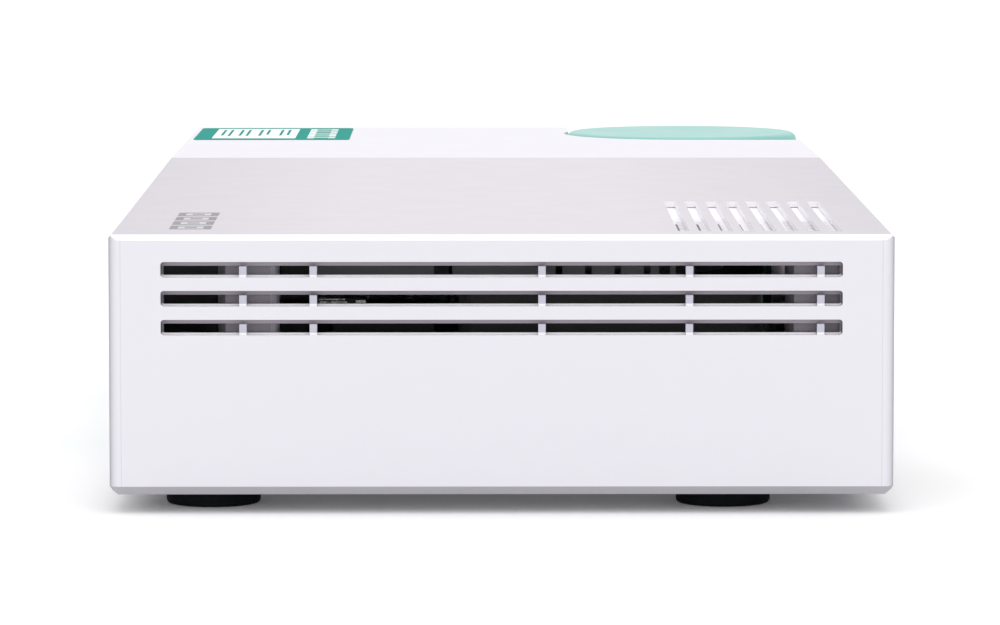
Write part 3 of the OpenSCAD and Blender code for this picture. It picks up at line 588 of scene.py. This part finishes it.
def label_print(rng, ink):
    """The roof label: a white text field on teal, with a title row."""
    (left, front, _), (right, _, _) = node_corners("top_label")
    top = LABEL_TOP + FILM
    box("label_field", (left + 4.2, front + 3.6, LABEL_TOP), (right - 3.4, front + 20.8, top),
        ink["white"])
    words = [bar for line in LABEL_LINES for y in (front + line - 0.75, front + line + 0.75)
             for bar in word_bars(rng, left + 8.2, left + 30.2 + rng.uniform(-3, 3), y - 0.5, y + 0.5,
                                  1, 0.55, top, top + FILM, 0.1)]
    boxes("label_words", words, ink["teal"])
    title = []
    x = left + 5.2
    y = front + 23.2
    for width in TITLE_WIDTHS:
        title.append(((x, y, LABEL_TOP), (x + width, y + 1.4, top)))
        title.append(((x, y + 4.4, LABEL_TOP), (x + width * 0.8, y + 5.8, top)))
        title.append(((x, y + 1.4, LABEL_TOP), (x + 1.1, y + 4.4, top)))
        x += width + 1.1
    boxes("label_title", title, ink["white"])


def roof_mark(ink):
    """A plain row of four drive symbols printed on the sloping roof."""
    wide, deep, line = 7.0, 6.8, 1.3

    def build(bm):
        for i in range(4):
            x0, y0 = MARK_X + i * MARK_PITCH, MARK_Y
            x1, y1 = x0 + wide, y0 + deep
            for low, high in (((x0, y0), (x1, y0 + line)), ((x0, y1 - line), (x1, y1)),
                              ((x0, y0 + line), (x0 + line, y1 - line)),
                              ((x1 - line, y0 + line), (x1, y1 - line)),
                              ((x0 + 2.7, y0 + 2.4), (x1 - 2.7, y1 - 2.4))):
                add_box(bm, (*low, 0), (*high, FILM))
        on_slope(bm)
    piece_from("roof_mark", build, ink["grey"])


def filter_cloth(materials):
    """Pale cloth close under the holes of the dust screen."""
    def build(bm):
        add_box(bm, (104, 27, -1.95), (133, 57, -1.85))
        on_slope(bm)
    piece_from("filter_cloth", build, materials["screen_white"])


# ---------------------------------------------------------- drives and trays

SLIDES = 4
RECESS = 0.3                # depth of the recess in a drive's top
CONTACTS = 22
CONTACT_PITCH = 1.27
PIP_PITCH = 2.4
PIP_HALF = 0.6


def drive_details(number, rng, ink, materials):
    """Sticker, print and screws of one drive, its socket's contacts, and marks on its tray and lever."""
    drawer, lever = f"drawer_{number}", f"lever_{number}"
    (tray_left, face, floor), (tray_right, _, _) = node_corners(f"tray_{number}")
    (_, front, drive_floor), (_, _, drive_top) = node_corners(f"drive_{number}")
    x = (tray_left + tray_right) / 2
    top = drive_top - RECESS
    paper = top + 0.06
    box(f"drive_sticker_{number}", (x - 26, front + 15.8, top), (x + 26, front + 75.8, paper),
        ink["white"], drawer)
    printed = word_bars(rng, x - 24, x + 23, front + 40, front + 73, 7, 1.5, paper, paper + FILM)
    printed.append(((x - 24, front + 18, paper), (x + 24, front + 25, paper + FILM)))
    boxes(f"drive_print_{number}", printed, ink["slate"], drawer)

    screws = [(x + side * 35.6, y) for side in (-1, 1) for y in (front + 18, front + 88)]
    boxes(f"drive_screws_{number}",
          [((u - 0.5, y - 1.6, drive_floor + 1.5), (u + 0.5, y + 1.6, drive_floor + 4.7)) for u, y in screws],
          materials["screw_steel"], drawer, 0.3)
    contacts = [x - 13.6 + i * CONTACT_PITCH for i in range(CONTACTS)]
    boxes(f"socket_gold_{number}",
          [((u, 38.7, floor + 4.05), (u + 0.6, 40.9, floor + 4.2)) for u in contacts],
          ink["gold"])

    middle = floor + 7.5
    pips = [middle + (i - (number - 1) / 2) * PIP_PITCH for i in range(number)]
    boxes(f"tray_pips_{number}",
          [((x - 34.6, face - FILM, z - PIP_HALF), (x - 33.4, face + 0.05, z + PIP_HALF)) for z in pips],
          ink["slate"], drawer)
    ribs = [x + 10 + 2 * i for i in range(4)]
    boxes(f"lever_ribs_{number}",
          [((u, face - 0.05, middle - 2.8), (u + 1, face + 0.3, middle + 2.8)) for u in ribs],
          materials["mint_plastic"], lever, 0.12)


# --------------------------------------------------------- buttons and ports

BUTTON_FACE = -63.1
POWER_PLACE = (-118, 31)
COPY_PLACE = (-131, 13.5)
LAN_PLACES = (91, 108)


def button_marks(ink):
    """A power symbol and a copy arrow, printed on their buttons."""
    printed = BUTTON_FACE - 0.03

    def bar(bm, x0, z0, x1, z1):
        add_box(bm, (x0, printed, z0), (x1, BUTTON_FACE, z1))

    def power(bm):
        x, z = POWER_PLACE
        flat_ring(bm, POWER_PLACE, 2.6, 2.0, printed, BUTTON_FACE, "Y", 0.6)
        bar(bm, x - 0.3, z + 0.4, x + 0.3, z + 3)
    piece_from("power_mark", power, ink["slate"], "power_button")

    def copy(bm):
        x, z = COPY_PLACE
        bar(bm, x - 0.3, z - 1.5, x + 0.3, z + 1.9)
        for side in (-1, 1):
            for k in range(3):
                u, v = x + side * (0.5 + 0.45 * k), z + 1.5 - 0.45 * k
                bar(bm, u - 0.3, v - 0.3, u + 0.3, v + 0.3)
    piece_from("copy_mark", copy, ink["white"], "copy_button")


def network_socket(number, x, ink, materials):
    """Contacts, black liner and two lenses of one network socket."""
    back, mouth, floor, shelf, ceiling = 50.4, 62.5, 11.6, 18.8, 20.2
    half, liner = 5.6, 0.25
    contacts = [x + i * 1.02 for i in range(8)]
    boxes(f"lan_contacts_{number}",
          [((u - 3.75, 51.5, shelf - 0.3), (u - 3.4, 60.5, shelf)) for u in contacts],
          ink["gold"])
    boxes(f"lan_liner_{number}",
          [((x - half - liner, back, floor), (x - half, mouth, ceiling)),
           ((x + half, back, floor), (x + half + liner, mouth, ceiling)),
           ((x - half, back, shelf), (x + half, mouth, ceiling)),
           ((x - half, back, floor), (x + half, back + 0.3, shelf))],
          materials["jack_black"])
    for side, colour in ((-1, "amber"), (1, "green")):
        middle = x + side * half
        box(f"lan_lens_{number}_{colour}", (middle - 1.3, 62.6, 20.9), (middle + 1.3, 63.0, 22.5),
            ink[colour], bevel=0.1)


def usb_socket(place, low, high, first, y0, y1, ink, materials):
    """Black tongue of a USB socket, with four contacts from y0 to y1 on its lower face."""
    box(f"{place}_usb_tongue", low, high, materials["jack_black"])
    under = low[2] - 0.05
    starts = [first + i * 2.6 for i in range(4)]
    boxes(f"{place}_usb_contacts", [((u, y0, under), (u + 1, y1, under + 0.07)) for u in starts],
          ink["gold"])


# ------------------------------------------------------------ parts on boards

BOARD_AREA = (68, -57, 131, 60)
SMALL_PARTS = 110
FRONT_PARTS_X = (-126, -122.5, -108, -104.5, -101)
FRONT_PARTS_Z = (8.5, 18.5, 22, 27, 38)
# ground on the main board under larger parts: (x0, y0, x1, y1)
KEEP_OUT = (
    (84, -42.5, 108.5, -17.5), (120.5, -50.5, 129.5, -2.5),                           # chips
    (71.5, -32, 74.5, -28), (117.5, -32, 120.5, -28),                                 # sink clip
    (70, 2, 78, 34), (88, 30, 123, 38), (85.5, 5.5, 110.5, 30.5),                     # chokes, cans, cell
    (82.5, 45.5, 131.5, 61), (70, 47, 81, 61),                                        # rear sockets
    (66, -51, 72, -41), (68, -58, 74, -50), (125, -58, 132, -50),                     # cable, screws
    (68, 36, 74, 44), (125, 36, 132, 44),                                             # screws
    (81, -1.5, 87, 3.5), (125, -1.5, 131, 3.5), (81, 32, 87, 38),                     # blower legs
)


def overlaps(a, b, margin=0.4):
    return (a[0] < b[2] + margin and a[2] > b[0] - margin
            and a[1] < b[3] + margin and a[3] > b[1] - margin)


def board_parts(rng, ink, materials):
    """Small surface-mount parts on the free ground of the main board and on the front board."""
    taken = list(KEEP_OUT)
    left, front, right, rear = BOARD_AREA
    dark, pale, ends = [], [], []
    while len(dark) + len(pale) < SMALL_PARTS:
        w, d = rng.choice(((1.6, 0.8), (2.0, 1.25), (0.8, 1.6), (3.2, 1.6), (4.4, 3.2)))
        x, y = rng.uniform(left, right - w), rng.uniform(front, rear - d)
        spot = (x, y, x + w, y + d)
        if any(overlaps(spot, other) for other in taken):
            continue
        taken.append(spot)
        high = BOARD_TOP + (1.1 if w > 4 else 0.55)
        (dark if w > 3 or rng.random() < 0.5 else pale).append(((x, y, PARTS_FLOOR), (x + w, y + d, high)))
        if w < 3:
            for u in (x - 0.15, x + w - 0.2):
                ends.append(((u, y - 0.05, PARTS_FLOOR), (u + 0.35, y + d + 0.05, high + 0.03)))
    boxes("smd_dark", dark, materials["chip_black"])
    boxes("smd_pale", pale, ink["tan"])
    boxes("smd_ends", ends, materials["can_alloy"])
    boxes("front_smd",
          [((x, -52.4, z), (x + 2, -51.8, z + 1.2)) for x in FRONT_PARTS_X for z in FRONT_PARTS_Z],
          materials["chip_black"])
    chip_top = node_corners("processor")[1][2]
    chip_words = word_bars(rng, 89.5, 103, -35, -25, 3, 1.1, chip_top - 0.02, chip_top + 0.02)
    boxes("processor_print", chip_words, ink["grey"])


def antenna_bracket(materials):
    """Bright contact bars on a dark plate and leg, beside the end slots."""
    boxes("antenna_leg", [((130.4, -29.8, 32.2), (130.9, -22.2, 33.7)),
                          ((130.4, -27.0, PARTS_FLOOR), (130.9, -26.2, 32.3))],
          materials["chip_black"])
    boxes("antenna_bracket", [((130.8, -29.8, 33.05), (131.2, -25.3, 33.3)),
                              ((130.8, -29.8, 33.5), (131.2, -25.6, 33.72)),
                              ((130.8, -23.8, 33.05), (131.2, -22.2, 33.5))],
          materials["can_alloy"])


def rotor_label(ink):
    """A slate ring and a teal disc printed on the rotor's hub."""
    for name, outer, inner, colour in (("rotor_label", 8.6, 5.4, "slate"), ("rotor_dot", 4.6, 0.4, "teal")):
        def build(bm):
            flat_ring(bm, (106, 18), outer, inner, 35.28, 35.36, "Z")
        piece_from(name, build, ink[colour], "rotor")


def rating_label(rng, ink):
    """The rating label under the base plate, with greeked print."""
    box("rating_label", (-38, -16, 2.94), (38, 18, 3.01), ink["white"])
    printed = word_bars(rng, -35, 34, -4, 15, 6, 1.3, 2.92, 2.95)
    printed += [((x0, -13, 2.92), (x1, -7, 2.95)) for x0, x1 in ((-35, -12), (10, 17), (20, 27))]
    boxes("rating_print", printed, ink["slate"])


def make_pieces(materials):
    rng = random.Random(41)
    ink = make_inks()
    label_print(rng, ink)
    roof_mark(ink)
    for number in range(1, SLIDES + 1):
        drive_details(number, rng, ink, materials)
    button_marks(ink)
    for number, x in enumerate(LAN_PLACES, 1):
        network_socket(number, x, ink, materials)
    usb_socket("front", (-117.7, -62.3, 13.8), (-106.3, -55.6, 15.4), -116.2, -62, -57, ink, materials)
    usb_socket("rear", (118.3, 50.4, 13.7), (129.7, 62.1, 15.3), 119.6, 56, 61.8, ink, materials)
    board_parts(rng, ink, materials)
    antenna_bracket(materials)
    filter_cloth(materials)
    rotor_label(ink)
    rating_label(rng, ink)


# ---------------------------------------------------------- stage and lights

def make_stage():
    """A pale floor, faintly lit so that it stays white around the object."""
    mesh = bpy.data.meshes.new("floor")
    bm = bmesh.new()
    bmesh.ops.create_grid(bm, x_segments=1, y_segments=1, size=6.0)
    bm.to_mesh(mesh)
    bm.free()
    floor = bpy.data.objects.new("floor", mesh)
    scene.collection.objects.link(floor)
    material, tree, shader = new_material("pale_floor")
    tone = noise(tree, object_point(tree), 3, 2)
    colours = ramp(tree, tone, [(0.3, (0.93, 0.93, 0.93)), (0.7, (0.95, 0.95, 0.95))])
    tree.links.new(colours, shader.inputs["Base Color"])
    shader.inputs["Roughness"].default_value = 0.9
    shader.inputs["Specular IOR Level"].default_value = 0.0
    shader.inputs["Emission Color"].default_value = (1, 1, 1, 1)
    shader.inputs["Emission Strength"].default_value = 0.06
    mesh.materials.append(material)


def area_light(name, place, target, size, power):
    data = bpy.data.lights.new(name, "AREA")
    data.shape = "SQUARE"
    data.size = size
    data.energy = power
    light = bpy.data.objects.new(name, data)
    light.location = place
    light.rotation_euler = (Vector(target) - Vector(place)).to_track_quat("-Z", "Y").to_euler()
    scene.collection.objects.link(light)


def make_lights():
    """A white studio with grey cards to the front and rear, which draw the upright corners."""
    world = bpy.data.worlds.new("studio")
    world.use_nodes = True
    tree = world.node_tree
    background = tree.nodes["Background"]
    _, y, z = axes(tree, add(tree, "ShaderNodeTexCoord").outputs["Generated"])
    sideways = ranged(tree, calculate(tree, "ABSOLUTE", y), 0, 1, 0.7, 0.9)
    card = calculate(tree, "MULTIPLY", sideways, ranged(tree, z, 1, 0, 0.3, 0.5))
    tree.links.new(mixed(tree, card, (1, 1, 1), CARD_TONE), background.inputs["Color"])
    background.inputs["Strength"].default_value = 1.09
    scene.world = world
    area_light("overhead", (0.2, 0.0, 1.6), (0, 0, 0), 1.4, 4.2)


# --------------------------------------------------------------------- build

make_camera()
materials = make_materials()
dress_nodes(materials)
make_pieces(materials)
make_stage()
make_lights()
